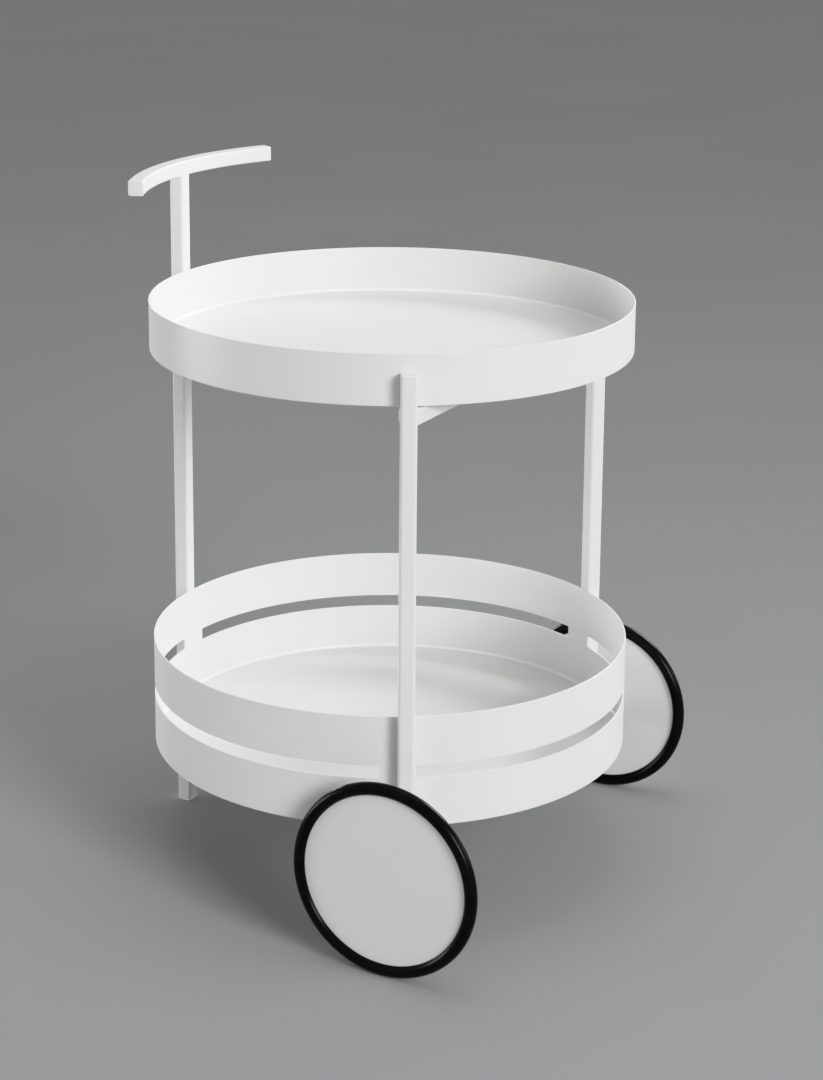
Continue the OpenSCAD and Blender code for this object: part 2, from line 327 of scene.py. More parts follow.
def nodeBox(node):
    low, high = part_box(node)
    return low, high, (low + high) / 2


def turned(degrees, axis):
    return Matrix.Rotation(radians(degrees), 4, axis)


def joinShape(target, part):
    # adds a finished solid to the shape of its piece
    bmesh.ops.remove_doubles(part, verts=part.verts, dist=mergeDistance)
    bmesh.ops.recalc_face_normals(part, faces=part.faces)
    mesh = bpy.data.meshes.new("part")
    part.to_mesh(mesh)
    part.free()
    target.from_mesh(mesh)
    bpy.data.meshes.remove(mesh)


def placePiece(shape, name, body, material, nodes=(), sharp=32.0):
    # edges sharper than this many degrees stay sharp, and the rest is shaded smooth
    mesh = bpy.data.meshes.new(name)
    shape.to_mesh(mesh)
    shape.free()
    mesh.polygons.foreach_set("use_smooth", [True] * len(mesh.polygons))
    mesh.set_sharp_from_angle(angle=radians(sharp))
    mesh.materials.append(material)
    piece = bpy.data.objects.new(name, mesh)
    scene.collection.objects.link(piece)
    flatten = piece.modifiers.new("evenNormals", "WEIGHTED_NORMAL")
    flatten.keep_sharp = True
    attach(piece, body)
    if nodes:
        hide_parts(*nodes)
    return piece


def roundCorners(part, sizes, steps):
    # rounds each corner of a flat outline by its own size
    for size in sorted(set(sizes.values())):
        if size > 0:
            corners = [vert for vert, own in sizes.items() if own == size]
            bmesh.ops.bevel(part, geom=corners, offset=size, offset_type="OFFSET", segments=steps,
                            profile=0.5, affect="VERTICES", material=-1)


def softenEdges(part, test, size, steps=3):
    edges = [edge for edge in part.edges if test(edge)]
    bmesh.ops.bevel(part, geom=edges, offset=size, offset_type="OFFSET", segments=steps,
                    profile=0.5, affect="EDGES", material=-1, clamp_overlap=True)


def cutPart(part, point, across, snap=0.0):
    bmesh.ops.bisect_plane(part, geom=part.verts[:] + part.edges[:] + part.faces[:], dist=snap,
                           plane_co=point, plane_no=across)


def turnedSolid(corners, centre, axis, steps, roundSteps=4):
    # corners are (radius, place along the axis, rounding); a radius of 0 lies on the axis
    part = bmesh.new()
    along = Vector((1, 0, 0)) if axis == "X" else Vector((0, 0, 1))
    across = Vector((0, 0, 1)) if axis == "X" else Vector((1, 0, 0))
    centre = Vector(centre)
    sizes = {}
    for radius, reach, rounding in corners:
        sizes[part.verts.new(centre + across * radius + along * reach)] = rounding
    part.faces.new(sizes)
    roundCorners(part, sizes, roundSteps)
    onAxis = [edge for edge in part.edges
              if all(abs((vert.co - centre).dot(across)) < mergeDistance for vert in edge.verts)]
    bmesh.ops.delete(part, geom=part.faces[:], context="FACES_ONLY")
    bmesh.ops.delete(part, geom=onAxis, context="EDGES")
    bmesh.ops.spin(part, geom=part.verts[:] + part.edges[:], cent=centre, axis=along,
                   dvec=(0, 0, 0), angle=tau, steps=steps, use_merge=True)
    return part


def pushFace(part, face, move, scale=1.0):
    # extrudes one face by a move, and scales the new face about its middle
    isInner = any(len(edge.link_faces) > 1 for edge in face.edges)
    pushed = bmesh.ops.extrude_face_region(part, geom=[face])["geom"]
    verts = [item for item in pushed if isinstance(item, bmesh.types.BMVert)]
    newFace = [item for item in pushed if isinstance(item, bmesh.types.BMFace)][0]
    bmesh.ops.translate(part, verts=verts, vec=move)
    if scale != 1.0:
        middle = newFace.calc_center_median()
        bmesh.ops.scale(part, verts=verts, vec=(scale,) * 3, space=Matrix.Translation(-middle))
    if isInner and face.is_valid:
        # a face pushed from the end of a solid would stay behind inside it
        bmesh.ops.delete(part, geom=[face], context="FACES_ONLY")
    return newFace


# trays

traySet = {
    "steps": 360,            # faces round each tray
    "sheet": 0.0015,
    "rimRound": 0.00062,
    "footRound": 0.0009,
    "edgeRound": 0.0003,     # along the slots
    "edgeReach": 0.00001,    # an edge this near the rim or the foot is theirs
    "fillet": 0.0028,
    "filletEase": 0.0001,    # keeps the rounding clear of the fillet's ends
    "lip": 0.00008,          # thickness of the fillet where it runs out on the wall
    "slotTop": 0.051,        # below the rim
    "slotHeight": 0.013,
    "slotMargin": 0.02,      # the slots' edges are further than this from rim and foot
    "slotLand": 0.036,       # length of plain wall behind each upright
    "slotCorner": 0.0007,
    "landAngles": (90, 210, 330),
}
trayLow, trayHigh, trayCentre = nodeBox("lower_tray_wall")
trayRadius = (trayHigh.x - trayLow.x) / 2


def angleFromLand(point):
    # how far a point lies from the nearest plain stretch's middle, in degrees
    spot = Vector((point.x - trayCentre.x, point.y - trayCentre.y))
    turn = -Vector((1, 0)).angle_signed(spot) * 180 / pi
    return min(abs((turn - land + 180) % 360 - 180) for land in traySet["landAngles"])


def cutSlots(part, zLow, zHigh):
    landHalf = traySet["slotLand"] / 2 / trayRadius * 180 / pi
    for land in traySet["landAngles"]:
        for side in (-1, 1):
            end = radians(land + side * landHalf)
            cutPart(part, trayCentre, (-sin(end), cos(end), 0), mergeDistance)

    def isOpen(face):
        middle = face.calc_center_median()
        return zLow < middle.z < zHigh and angleFromLand(middle) > landHalf

    def isCorner(vert):
        return min(abs(vert.co.z - zLow), abs(vert.co.z - zHigh)) < near \
            and abs(angleFromLand(vert.co) - landHalf) < 0.01

    openFaces = [face for face in part.faces if isOpen(face)]
    corners = [vert for vert in part.verts if isCorner(vert)]
    bmesh.ops.dissolve_faces(part, faces=openFaces)
    roundCorners(part, {vert: traySet["slotCorner"] for vert in corners}, 4)
    # each opening is now one face of many corners, and every other face has a few
    openings = [face for face in part.faces if len(face.verts) > 100]
    print("slots cut:", len(openings))
    bmesh.ops.delete(part, geom=openings, context="FACES")


def makeTrayWall(name, node, body, slots=False):
    low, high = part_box(node)
    centre = Vector((trayCentre.x, trayCentre.y, low.z))
    part = bmesh.new()
    bmesh.ops.create_circle(part, segments=traySet["steps"], radius=trayRadius,
                            matrix=Matrix.Translation(centre))
    slotHigh = high.z - traySet["slotTop"]
    slotLow = slotHigh - traySet["slotHeight"]
    levels = [slotLow, slotHigh, high.z] if slots else [high.z]
    ring, height = part.edges[:], low.z
    for level in levels:
        made = bmesh.ops.extrude_edge_only(part, edges=ring)["geom"]
        ring = [item for item in made if isinstance(item, bmesh.types.BMEdge)]
        raised = [item for item in made if isinstance(item, bmesh.types.BMVert)]
        bmesh.ops.translate(part, verts=raised, vec=(0, 0, level - height))
        height = level
    if slots:
        cutSlots(part, slotLow, slotHigh)
    bmesh.ops.recalc_face_normals(part, faces=part.faces)
    bmesh.ops.solidify(part, geom=part.faces[:], thickness=traySet["sheet"])
    bmesh.ops.recalc_face_normals(part, faces=part.faces)

    def isSharp(edge):
        return len(edge.link_faces) == 2 and edge.calc_face_angle(0) > 1.0

    def onRim(edge):
        return isSharp(edge) and min(v.co.z for v in edge.verts) > high.z - traySet["edgeReach"]

    def onFoot(edge):
        return isSharp(edge) and max(v.co.z for v in edge.verts) < low.z + traySet["edgeReach"] \
            and (edge.verts[0].co - centre).length > trayRadius - traySet["sheet"] / 2

    def onSlot(edge):
        return isSharp(edge) and low.z + traySet["slotMargin"] < edge.verts[0].co.z \
            < high.z - traySet["slotMargin"]

    # the two corners of the rim, the outer corner at the foot, then the slots' edges
    softenEdges(part, onRim, traySet["rimRound"], 4)
    softenEdges(part, onFoot, traySet["footRound"], 4)
    softenEdges(part, onSlot, traySet["edgeRound"], 2)
    shape = bmesh.new()
    joinShape(shape, part)
    placePiece(shape, name, body, powderCoat, (node,), 40.0)


def makeTrayFloor(name, node, body):
    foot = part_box(node)[0].z
    inside = trayRadius - traySet["sheet"]
    lipReach = inside - traySet["lip"]
    top = traySet["sheet"]
    rise = top + traySet["fillet"]
    corners = [(0, 0, 0), (inside, 0, 0), (inside, rise, 0), (lipReach, rise, 0),
               (lipReach, top, traySet["fillet"] - traySet["filletEase"]), (0, top, 0)]
    centre = (trayCentre.x, trayCentre.y, foot)
    shape = bmesh.new()
    joinShape(shape, turnedSolid(corners, centre, "Z", traySet["steps"], 8))
    piece = placePiece(shape, name, body, powderCoat, (node,), 40.0)
    # the fillet's faces take the paler coat, a painted highlight along the floor's edge
    piece.data.materials.append(filletHighlightCoat)
    for face in piece.data.polygons:
        reach = (face.center - Vector((trayCentre.x, trayCentre.y, face.center.z))).length
        if reach > lipReach - traySet["fillet"] and face.center.z > foot + top + near:
            face.material_index = 1


makeTrayWall("upperTrayWall", "upper_tray_wall", "upper_tray")
makeTrayFloor("upperTrayFloor", "upper_tray_floor", "upper_tray")
makeTrayWall("lowerTrayWall", "lower_tray_wall", "cart_frame", slots=True)
makeTrayFloor("lowerTrayFloor", "lower_tray_floor", "cart_frame")
print("trays are ready")


# frame of square tube

tubeSet = {
    "width": 0.016,
    "corner": 0.0025,
    "cornerSteps": 5,
    "endRound": 0.0006,
    "legAngle": 58.4,        # degrees from the middle of the wheel side
    "sleeveRadius": 0.011,   # the legs' lower ends are cut to the bearing sleeves
    "sleeveCuts": 6,
}
postLow, postHigh, postCentre = nodeBox("handle_post")
# how far the dressed weld carries the post's faces up over the handle's lower edge
postSet = {"intoHandle": 0.0024}
# how far short of a leg's middle a cross bar ends, inside the leg
barSet = {"shortOfLeg": 0.001}


def tubeOutline():
    # flat rounded square about the origin, facing up
    part = bmesh.new()
    bmesh.ops.create_grid(part, x_segments=1, y_segments=1, size=tubeSet["width"] / 2)
    roundCorners(part, {vert: tubeSet["corner"] for vert in part.verts}, tubeSet["cornerSteps"])
    return part


def tubeBar(length, place):
    # closed bar of the tube, drawn along Z and laid by a matrix
    part = tubeOutline()
    pushFace(part, part.faces[:][0], (0, 0, length))
    bmesh.ops.transform(part, matrix=place, verts=part.verts)
    return part


def uprightTurn(side):
    return turned(side * (tubeSet["legAngle"] - 90), "Z")


def makeLeg(side, name, node):
    low, high, middle = nodeBox(node)
    part = tubeOutline()
    # the lower end follows the bearing sleeve, so its long sides get points first
    sides = [edge for edge in part.edges if edge.calc_length() > tubeSet["corner"]]
    bmesh.ops.subdivide_edges(part, edges=sides, cuts=tubeSet["sleeveCuts"])
    place = Matrix.Translation((middle.x, middle.y, low.z)) @ uprightTurn(side)
    bmesh.ops.transform(part, matrix=place, verts=part.verts)
    pushFace(part, part.faces[:][0], (0, 0, high.z - low.z))
    for vert in part.verts:
        if vert.co.z < low.z + near:
            reach = vert.co.y - middle.y
            vert.co.z = low.z + sqrt(max(0.0, tubeSet["sleeveRadius"] ** 2 - reach ** 2))
    softenEdges(part, lambda edge: min(v.co.z for v in edge.verts) > high.z - near,
                tubeSet["endRound"])
    shape = bmesh.new()
    joinShape(shape, part)
    placePiece(shape, name, "cart_frame", powderCoat, (node,))


def makePost():
    shape = bmesh.new()
    place = Matrix.Translation((postCentre.x, postCentre.y, postLow.z))
    joinShape(shape, tubeBar(postHigh.z - postLow.z + postSet["intoHandle"], place))
    placePiece(shape, "handlePost", "cart_frame", powderCoat, ("handle_post",))


def makeCrossBar(name, node):
    middle = nodeBox(node)[2]
    reach = nodeBox("right_leg")[2].x - barSet["shortOfLeg"]
    shape = bmesh.new()
    place = Matrix.Translation((-reach, middle.y, middle.z)) @ turned(90, "Y")
    joinShape(shape, tubeBar(2 * reach, place))
    placePiece(shape, name, "cart_frame", powderCoat, (node,))


def makeSpineBar(name, node):
    low, high, middle = nodeBox(node)
    shape = bmesh.new()
    place = Matrix.Translation((0, low.y, middle.z)) @ turned(-90, "X")
    joinShape(shape, tubeBar(high.y - low.y, place))
    placePiece(shape, name, "cart_frame", powderCoat, (node,))


makeLeg(-1, "leftLeg", "left_leg")
makeLeg(1, "rightLeg", "right_leg")
makePost()
makeCrossBar("upperCrossBar", "upper_cross_bar")
makeSpineBar("upperSpineBar", "upper_spine_bar")
makeCrossBar("lowerCrossBar", "lower_cross_bar")
makeSpineBar("lowerSpineBar", "lower_spine_bar")
print("legs, post and bars are ready")


# handle

handleSet = {
    "radius": 0.285,
    "length": 0.260,         # straight across, over the end plates
    "steps": 72,
    "endPlate": 0.002,
    "endRound": 0.0012,
}


def makeHandle():
    middle = nodeBox("handle_bar")[2]
    centre = Vector((0, postCentre.y - handleSet["radius"], middle.z))
    half = asin(handleSet["length"] / 2 / handleSet["radius"]) \
        - handleSet["endPlate"] / handleSet["radius"]

    def alongHandle(turn):
        return Matrix.Translation(centre) @ Matrix.Rotation(pi / 2 + turn, 4, "Z") @ \
            Matrix.Translation((handleSet["radius"], 0, 0))

    bar = tubeOutline()
    bmesh.ops.transform(bar, matrix=alongHandle(-half) @ turned(90, "X"), verts=bar.verts)
    bmesh.ops.spin(bar, geom=bar.faces[:] + bar.edges[:] + bar.verts[:], cent=centre,
                   axis=(0, 0, 1), dvec=(0, 0, 0), angle=2 * half, steps=handleSet["steps"])
    shape = bmesh.new()
    joinShape(shape, bar)
    placePiece(shape, "handleBar", "cart_frame", powderCoat, ("handle_bar",))
    ends = bmesh.new()
    for side in (-1, 1):
        plate = tubeOutline()
        pushFace(plate, plate.faces[:][0], (0, 0, handleSet["endPlate"]))
        softenEdges(plate, lambda edge: min(v.co.z for v in edge.verts)
                    > handleSet["endPlate"] - near, handleSet["endRound"])
        bmesh.ops.transform(plate, matrix=alongHandle(side * half) @ turned(-90 * side, "X"),
                            verts=plate.verts)
        joinShape(ends, plate)
    placePiece(ends, "handleEndPlates", "cart_frame", powderCoat,
               ("handle_end_plates",))


makeHandle()
print("handle is ready")


# caps and foot

capSet = {
    "head": 0.0015,
    "footHead": 0.004,
    "edge": 0.0011,
    "seamGap": 0.0003,       # fine line between a head and its tube
    "plug": 0.014,
    "plugWidth": 0.0127,
    "plugTip": 0.001,
    "tipScale": 0.9,
}


def addPlug(shape, place, head):
    # head with a soft outer edge at the origin, and the plug behind it
    part = tubeOutline()
    back = pushFace(part, part.faces[:][0], (0, 0, head - capSet["seamGap"]))
    back = pushFace(part, back, (0, 0, 0), capSet["plugWidth"] / tubeSet["width"])
    back = pushFace(part, back, (0, 0, capSet["plug"]))
    pushFace(part, back, (0, 0, capSet["plugTip"]), capSet["tipScale"])
    softenEdges(part, lambda edge: max(v.co.z for v in edge.verts) < near, capSet["edge"])
    bmesh.ops.transform(part, matrix=place, verts=part.verts)
    joinShape(shape, part)


def makeCaps():
    shape = bmesh.new()
    for side, node in ((-1, "left_leg"), (1, "right_leg")):
        high, middle = nodeBox(node)[1:]
        place = Matrix.Translation((middle.x, middle.y, high.z + capSet["head"]))
        addPlug(shape, place @ uprightTurn(side) @ turned(180, "X"), capSet["head"])
    placePiece(shape, "legCaps", "cart_frame", capPlastic, ("leg_caps",))


def makeFoot():
    shape = bmesh.new()
    ground = postLow.z - capSet["footHead"]
    addPlug(shape, Matrix.Translation((postCentre.x, postCentre.y, ground)), capSet["footHead"])
    placePiece(shape, "postFoot", "cart_frame", capPlastic, ("post_foot",))


makeCaps()
makeFoot()
print("caps and foot are ready")


# wheels

wheelSet = {
    "radius": 0.1,
    "steps": 240,
    "tyreSection": 0.0065,
    "sectionSteps": 36,
    "groove": 0.0030,        # width of the groove that holds the disc
    "grooveFloor": 0.094,    # its radius
    "lipRound": 0.0005,
    "joint": 0.0006,         # gap of the butt joint
    "jointTurn": {-1: 90, 1: 0},  # where it stands on each side, in degrees
    "discEdge": 0.0005,
}


def tyreSection():
    # round section with the disc's groove: X is out from the axle, Y along it
    part = bmesh.new()
    bmesh.ops.create_circle(part, cap_ends=True, segments=wheelSet["sectionSteps"],
                            radius=wheelSet["tyreSection"])
    deep = wheelSet["grooveFloor"] - (wheelSet["radius"] - wheelSet["tyreSection"])
    half = wheelSet["groove"] / 2
    cutPart(part, (0, half, 0), (0, 1, 0))
    cutPart(part, (0, -half, 0), (0, 1, 0))
    cutPart(part, (deep, 0, 0), (1, 0, 0))
    inGroove = [face for face in part.faces
                if abs(face.calc_center_median().y) < half and face.calc_center_median().x < deep]
    bmesh.ops.delete(part, geom=inGroove, context="FACES")
    bmesh.ops.dissolve_faces(part, faces=part.faces[:])
    lips = [vert for vert in part.verts if abs(abs(vert.co.y) - half) < near and vert.co.x < 0]
    roundCorners(part, {vert: wheelSet["lipRound"] for vert in lips}, 3)
    return part


def makeTyre(side, name, node, body):
    low, high, centre = nodeBox(node)
    radius = (high.z - low.z) / 2
    gap = wheelSet["joint"] / radius
    part = tyreSection()
    # the section stands below the axle, and is turned to the butt joint and round from there
    stand = Matrix.Translation(centre) @ \
        Matrix.Translation((0, 0, -(radius - wheelSet["tyreSection"]))) @ \
        Matrix(((0, 1, 0, 0), (0, 0, -1, 0), (-1, 0, 0, 0), (0, 0, 0, 1)))
    bmesh.ops.transform(part, matrix=stand, verts=part.verts)
    turn = radians(wheelSet["jointTurn"][side]) + gap / 2
    bmesh.ops.rotate(part, verts=part.verts, cent=centre, matrix=Matrix.Rotation(turn, 3, "X"))
    bmesh.ops.spin(part, geom=part.faces[:] + part.edges[:] + part.verts[:], cent=centre,
                   axis=(1, 0, 0), dvec=(0, 0, 0), angle=tau - gap, steps=wheelSet["steps"])
    shape = bmesh.new()
    joinShape(shape, part)
    placePiece(shape, name, body, tyreRubber, (node,), 50.0)


def makeTurned(name, node, body, material, edge, steps, bore=0):
    # plain disc or ring along X, as long and as wide as its node
    low, high, centre = nodeBox(node)
    radius, half = (high.z - low.z) / 2, (high.x - low.x) / 2
    soft = edge if bore else 0
    corners = [(bore, -half, soft), (radius, -half, edge),
               (radius, half, edge), (bore, half, soft)]
    shape = bmesh.new()
    joinShape(shape, turnedSolid(corners, centre, "X", steps))
    placePiece(shape, name, body, material, (node,))


hubSet = {
    "steps": 96,
    "bore": 0.006,
    "boreRound": 0.0004,
    "neckRadius": 0.010,
    "neckRound": 0.0006,
    "rootFillet": 0.0018,
    "plate": 0.004,
    "plateRound": 0.0008,
    "weldInset": 0.0006,     # the weld round the plate starts inside the plate's rim,
    "weldHeight": 0.0022,    # climbs this far from the disc
    "weldReach": 0.0018,     # and spreads this far over it
    "weldSteps": 144,
}


def makeHub(side, name, node, body):
    low, high, centre = nodeBox(node)
    plateRadius = (high.z - low.z) / 2
    disc = (high.x if side > 0 else low.x) - centre.x
    inner = (low.x if side > 0 else high.x) - centre.x
    step = disc - side * hubSet["plate"]
    corners = [(hubSet["bore"], inner, hubSet["boreRound"]),
               (hubSet["neckRadius"], inner, hubSet["neckRound"]),
               (hubSet["neckRadius"], step, hubSet["rootFillet"]),
               (plateRadius, step, hubSet["plateRound"]),
               (plateRadius, disc, 0), (hubSet["bore"], disc, 0)]
    shape = bmesh.new()
    joinShape(shape, turnedSolid(corners, centre, "X", hubSet["steps"]))
    weldRadius = plateRadius - hubSet["weldInset"]
    weld = [(weldRadius, disc, 0), (weldRadius, disc - side * hubSet["weldHeight"], 0),
            (plateRadius + hubSet["weldReach"], disc, 0)]
    joinShape(shape, turnedSolid(weld, centre, "X", hubSet["weldSteps"]))
    placePiece(shape, name, body, discCoat, (node,))


axleSet = {
    "steps": 64,
    "chamfer": 0.0009,
    "threads": 8,
    "threadPitch": 0.00175,
    "threadDepth": 0.0007,
}


def makeAxle(side, name, node, body):
    low, high, centre = nodeBox(node)
    radius, half = (high.z - low.z) / 2, (high.x - low.x) / 2
    inner = -side * half
    corners = [(0, inner, 0), (radius - axleSet["chamfer"], inner, 0)]
    place = inner + side * axleSet["chamfer"]
    corners.append((radius, place, 0))
    for thread in range(axleSet["threads"]):
        place += side * axleSet["threadPitch"] / 2
        corners.append((radius - axleSet["threadDepth"], place, 0))
        place += side * axleSet["threadPitch"] / 2
        corners.append((radius, place, 0))
    corners += [(radius, -inner, 0), (0, -inner, 0)]
    shape = bmesh.new()
    joinShape(shape, turnedSolid(corners, centre, "X", axleSet["steps"]))
    placePiece(shape, name, body, turnedSteel, (node,))


nutSet = {
    "steps": 64,
    "chamfer": 0.0008,
    "bore": 0.006,
    "boreRound": 0.0005,
    "collar": 0.25,          # share of the nut's length
    "collarRadius": 0.00855,
    "collarRound": 0.0012,
}


def addHexagon(shape, radius, height, place, chamfer):
    # six-sided block with softened end corners, drawn along Z and laid by a matrix
    part = bmesh.new()
    bmesh.ops.create_cone(part, cap_ends=True, segments=6, radius1=radius, radius2=radius,
                          depth=height)
    softenEdges(part, lambda edge: abs(edge.verts[0].co.z - edge.verts[1].co.z) < near,
                chamfer, 2)
    bmesh.ops.transform(part, matrix=place, verts=part.verts)
    joinShape(shape, part)


def makeLockNut(side, name, node, body):
    low, high, centre = nodeBox(node)
    length = high.x - low.x
    collar = length * nutSet["collar"]
    place = Matrix.Translation((centre.x + side * collar / 2, centre.y, centre.z))
    shape = bmesh.new()
    addHexagon(shape, (high.z - low.z) / 2, length - collar, place @ turned(90, "Y"),
               nutSet["chamfer"])
    back = -side * length / 2
    front = back + side * collar
    corners = [(nutSet["bore"], back, nutSet["boreRound"]),
               (nutSet["collarRadius"], back, nutSet["collarRound"]),
               (nutSet["collarRadius"], front, 0), (nutSet["bore"], front, 0)]
    joinShape(shape, turnedSolid(corners, centre, "X", nutSet["steps"]))
    placePiece(shape, name, body, zincPlate, (node,))


washerSet = {"steps": 72, "thickness": 0.001, "bore": 0.006, "boreRound": 0.0001, "edge": 0.0002}


def makeWashers(name, node, body):
    low, high, centre = nodeBox(node)
    radius = (high.z - low.z) / 2
    shape = bmesh.new()
    for side in (-1, 1):
        outer = side * (high.x - low.x) / 2
        inner = outer - side * washerSet["thickness"]
        corners = [(washerSet["bore"], inner, washerSet["boreRound"]),
                   (radius, inner, washerSet["edge"]), (radius, outer, washerSet["edge"]),
                   (washerSet["bore"], outer, washerSet["boreRound"])]
        joinShape(shape, turnedSolid(corners, centre, "X", washerSet["steps"], 2))
    placePiece(shape, name, body, nylonPlastic, (node,))


sleeveSet = {"steps": 96, "bore": 0.00806, "edge": 0.0006}
bushSet = {
    "steps": 72,
    "bore": 0.00605,
    "mouthRound": 0.0005,
    "edge": 0.0004,
    "radius": 0.00805,
    "length": 0.012,         # inside the sleeve
    "flange": 0.002,
    "flangeRadius": 0.010,
}


def makeBushes(name, node):
    low, high, centre = nodeBox(node)
    shape = bmesh.new()
    for side in (-1, 1):
        outer = side * (high.x - low.x) / 2
        seat = outer - side * bushSet["flange"]
        end = seat - side * bushSet["length"]
        corners = [(bushSet["bore"], outer, bushSet["mouthRound"]),
                   (bushSet["flangeRadius"], outer, bushSet["edge"]),
                   (bushSet["flangeRadius"], seat, bushSet["edge"]),
                   (bushSet["radius"], seat, 0), (bushSet["radius"], end, bushSet["edge"]),
                   (bushSet["bore"], end, bushSet["edge"])]
        joinShape(shape, turnedSolid(corners, centre, "X", bushSet["steps"]))
    placePiece(shape, name, "cart_frame", nylonPlastic, (node,))


for side, word in ((-1, "left"), (1, "right")):
    wheel = word + "_wheel"
    makeTyre(side, word + "Tyre", word + "_tyre", wheel)
    makeTurned(word + "Disc", word + "_disc", wheel, discCoat, wheelSet["discEdge"],
               wheelSet["steps"])
    makeHub(side, word + "Hub", word + "_hub", wheel)
    makeAxle(side, word + "Axle", word + "_axle", wheel)
    makeLockNut(side, word + "LockNut", word + "_lock_nut", wheel)
    makeWashers(word + "ThrustWashers", word + "_thrust_washers", wheel)
    makeBushes(word + "Bushes", word + "_bushes")
    makeTurned(word + "Sleeve", word + "_sleeve", "cart_frame", powderCoat, sleeveSet["edge"],
               sleeveSet["steps"], sleeveSet["bore"])
print("wheels are ready")


# pads under the upper tray, studs and nuts under the lower one

padSet = {"steps": 48, "footRound": 0.0001, "topRound": 0.0003}
studSet = {"steps": 32, "endRound": 0.0004}
studWasherSet = {"steps": 48, "bore": 0.00275, "boreRound": 0.0001, "edge": 0.0002}
capNutSet = {
    "height": 0.004,         # of the six-sided part
    "edge": 0.0004,
    "across": 0.008,
    "dome": 0.47,            # radius, as a share of the width across the flats
    "domeSteps": 24,
    "domeRings": 16,
}


def islandBoxes(node):
    # middles and sizes of a node's separate solids, found by merging its loose triangles
    part = bmesh.new()
    part.from_mesh(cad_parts[node].data)
    bmesh.ops.remove_doubles(part, verts=part.verts, dist=near)
    seen, boxes = set(), []
    for vert in part.verts:
        if vert in seen:
            continue
        island, todo = [], [vert]
        seen.add(vert)
        while todo:
            point = todo.pop()
            island.append(point.co.copy())
            for edge in point.link_edges:
                other = edge.other_vert(point)
                if other not in seen:
                    seen.add(other)
                    todo.append(other)
        low = Vector([min(co[axis] for co in island) for axis in range(3)])
        high = Vector([max(co[axis] for co in island) for axis in range(3)])
        boxes.append(((low + high) / 2, high - low))
    part.free()
    return boxes


def makePads():
    shape = bmesh.new()
    for centre, size in islandBoxes("tray_pads"):
        radius, half = size.x / 2, size.z / 2
        corners = [(0, -half, 0), (radius, -half, padSet["footRound"]),
                   (radius, half, padSet["topRound"]), (0, half, 0)]
        joinShape(shape, turnedSolid(corners, centre, "Z", padSet["steps"], 3))
    placePiece(shape, "trayPads", "cart_frame", padRubber, ("tray_pads",))


def makeStuds():
    shape = bmesh.new()
    for centre, size in islandBoxes("lower_tray_studs"):
        radius, half = size.x / 2, size.z / 2
        corners = [(0, -half, 0), (radius, -half, studSet["endRound"]),
                   (radius, half, 0), (0, half, 0)]
        joinShape(shape, turnedSolid(corners, centre, "Z", studSet["steps"]))
    placePiece(shape, "trayStuds", "cart_frame", zincPlate, ("lower_tray_studs",))


def makeStudWashers():
    shape = bmesh.new()
    for centre, size in islandBoxes("stud_washers"):
        radius, half = size.x / 2, size.z / 2
        corners = [(studWasherSet["bore"], -half, studWasherSet["boreRound"]),
                   (radius, -half, studWasherSet["edge"]), (radius, half, studWasherSet["edge"]),
                   (studWasherSet["bore"], half, studWasherSet["boreRound"])]
        joinShape(shape, turnedSolid(corners, centre, "Z", studWasherSet["steps"], 2))
    placePiece(shape, "studWashers", "cart_frame", zincPlate, ("stud_washers",))


def makeCapNuts():
    shape = bmesh.new()
    height = capNutSet["height"]
    for centre, size in islandBoxes("cap_nuts"):
        top = centre.z + size.z / 2
        place = Matrix.Translation((centre.x, centre.y, top - height / 2))
        addHexagon(shape, size.x / 2, height, place, capNutSet["edge"])
        dome = bmesh.new()
        bmesh.ops.create_uvsphere(dome, u_segments=capNutSet["domeSteps"],
                                  v_segments=capNutSet["domeRings"],
                                  radius=capNutSet["across"] * capNutSet["dome"],
                                  matrix=Matrix.Translation((centre.x, centre.y, top - height)))
        joinShape(shape, dome)
    placePiece(shape, "capNuts", "cart_frame", zincPlate, ("cap_nuts",))


makePads()
makeStuds()
makeStudWashers()
makeCapNuts()
print("pads, studs and nuts are ready")


# welds

beadSet = {
    "steps": 12,
    "pitch": 0.0017,         # from rib to rib
    "rib": 0.1,              # how much thinner every second ring is
    "tip": 0.45,             # the ends' size, as a share of the bead's radius
    "firstRing": 0.8,
}
weldSet = {
    "upright": 0.0028,       # radii of the beads
    "flat": 0.0010,
    "handle": 0.0007,
    "uprightRib": 0.04,
    # places from the leg's middle towards the cart's middle, and from the bar's middle back
    "uprightPlace": (0.0042, 0.0098),
    "flatStart": 0.0052,
    "flatEnd": (0.0108, -0.002),
    "cornerGap": 0.0015,     # beads across a flat of the tube stop short of its corners
    "spineGap": 0.001,
    "sleeveSink": 0.0008,
}


def weldBead(shape, start, end, radius, rib=beadSet["rib"]):
    # ribbed bead between two points, as a welder lays it
    start, end = Vector(start), Vector(end)
    length = (end - start).length
    count = max(4, int(length / beadSet["pitch"]))
    part = bmesh.new()
    bmesh.ops.create_circle(part, cap_ends=True, segments=beadSet["steps"],
                            radius=radius * beadSet["tip"])
    face = part.faces[:][0]
    move = (0, 0, length / (count + 1))
    lastSize = beadSet["tip"]
    for ring in range(count):
        size = beadSet["firstRing"] if ring in (0, count - 1) else (1.0 if ring % 2 else 1.0 - rib)
        face = pushFace(part, face, move, size / lastSize)
        lastSize = size
    pushFace(part, face, move, beadSet["tip"] / lastSize)
    turn = (end - start).to_track_quat("Z", "Y").to_matrix().to_4x4()
    bmesh.ops.transform(part, matrix=Matrix.Translation(start) @ turn, verts=part.verts)
    joinShape(shape, part)


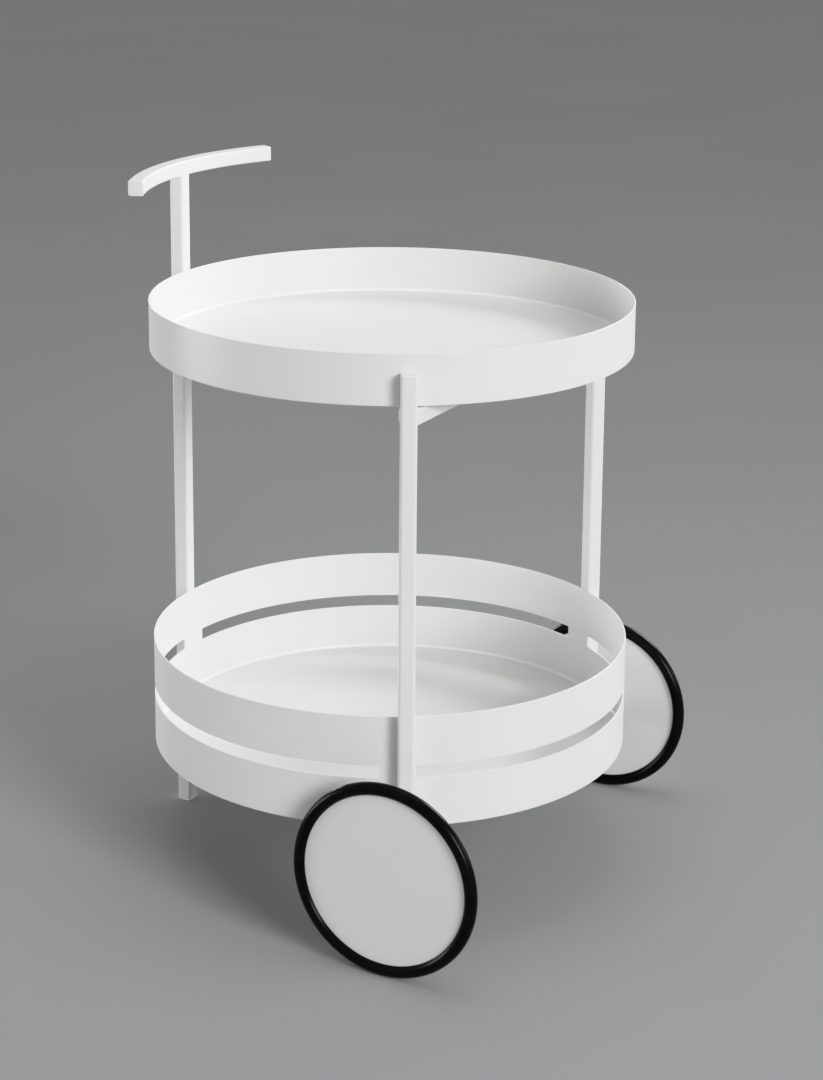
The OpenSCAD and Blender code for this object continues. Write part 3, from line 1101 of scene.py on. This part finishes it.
def weldLegs(shape, bar, inner):
    # each end of a cross bar: a bead behind the leg, and one over and under the bar
    low, high, middle = nodeBox(bar)
    for side, leg in ((-1, "left_leg"), (1, "right_leg")):
        legX = nodeBox(leg)[2].x
        across, back = weldSet["uprightPlace"]
        foot = Vector((legX - side * across, middle.y + back, low.z))
        weldBead(shape, foot, foot + Vector((0, 0, high.z - low.z)), weldSet["upright"],
                 weldSet["uprightRib"])
        across, back = weldSet["flatEnd"]
        for height in (low.z, high.z):
            weldBead(shape, (legX - side * weldSet["flatStart"], middle.y + inner, height),
                     (legX - side * across, middle.y + back, height), weldSet["flat"])


def weldSpine(shape, spine, half, inner):
    # both ends of a spine bar: up its sides and along its underside
    low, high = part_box(spine)
    for x in (-half, half):
        for y in (low.y, high.y):
            weldBead(shape, (x, y, low.z + weldSet["spineGap"]),
                     (x, y, high.z - weldSet["spineGap"]), weldSet["flat"])
    for y in (low.y, high.y):
        weldBead(shape, (-inner, y, low.z), (inner, y, low.z), weldSet["flat"])


def weldSleeve(shape, side, leg, half, inner):
    # the leg's two flat sides where they stand on the bearing sleeve
    middle = nodeBox(leg)[2]
    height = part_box(leg)[0].z + tubeSet["sleeveRadius"] - weldSet["sleeveSink"]
    for reach in (-half, half):
        start = middle + uprightTurn(side) @ Vector((reach, -inner / 2, 0))
        end = middle + uprightTurn(side) @ Vector((reach, inner / 2, 0))
        start.z = end.z = height
        weldBead(shape, start, end, weldSet["flat"])


def makeWelds():
    shape = bmesh.new()
    half = tubeSet["width"] / 2
    inner = half - weldSet["cornerGap"]
    for level in ("upper", "lower"):
        weldLegs(shape, level + "_cross_bar", inner)
        weldSpine(shape, level + "_spine_bar", half, inner)
    for x in (-half, half):
        weldBead(shape, (x, postCentre.y - inner, postHigh.z),
                 (x, postCentre.y + inner, postHigh.z), weldSet["handle"])
    for side, leg in ((-1, "left_leg"), (1, "right_leg")):
        weldSleeve(shape, side, leg, half, inner)
    placePiece(shape, "welds", "cart_frame", powderCoat)


makeWelds()
print("welds are ready")


# stage

floorSet = {
    "radius": 40.0,
    "steps": 96,
    "dark": (0.422, 0.427, 0.436),
    "pale": (0.439, 0.444, 0.453),
    "cloudScale": 1.5,
    "roughness": 0.85,
}


def makeFloorFinish():
    material, tree, shader, place = startMaterial("floorFinish")
    cloud = addNoise(tree, place, floorSet["cloudScale"], detail=4.0)
    tree.links.new(addRamp(tree, cloud, floorSet["dark"], floorSet["pale"]), shader["Base Color"])
    shader["Roughness"].default_value = floorSet["roughness"]
    shader["Specular IOR Level"].default_value = 0.0
    return material


def makeFloor():
    shape = bmesh.new()
    bmesh.ops.create_circle(shape, cap_ends=True, segments=floorSet["steps"],
                            radius=floorSet["radius"])
    mesh = bpy.data.meshes.new("floor")
    shape.to_mesh(mesh)
    shape.free()
    mesh.materials.append(makeFloorFinish())
    floor = bpy.data.objects.new("floor", mesh)
    scene.collection.objects.link(floor)
    return floor


makeLights(makeFloor())
setTones()
makeCamera()
print("stage, lights and camera are ready")
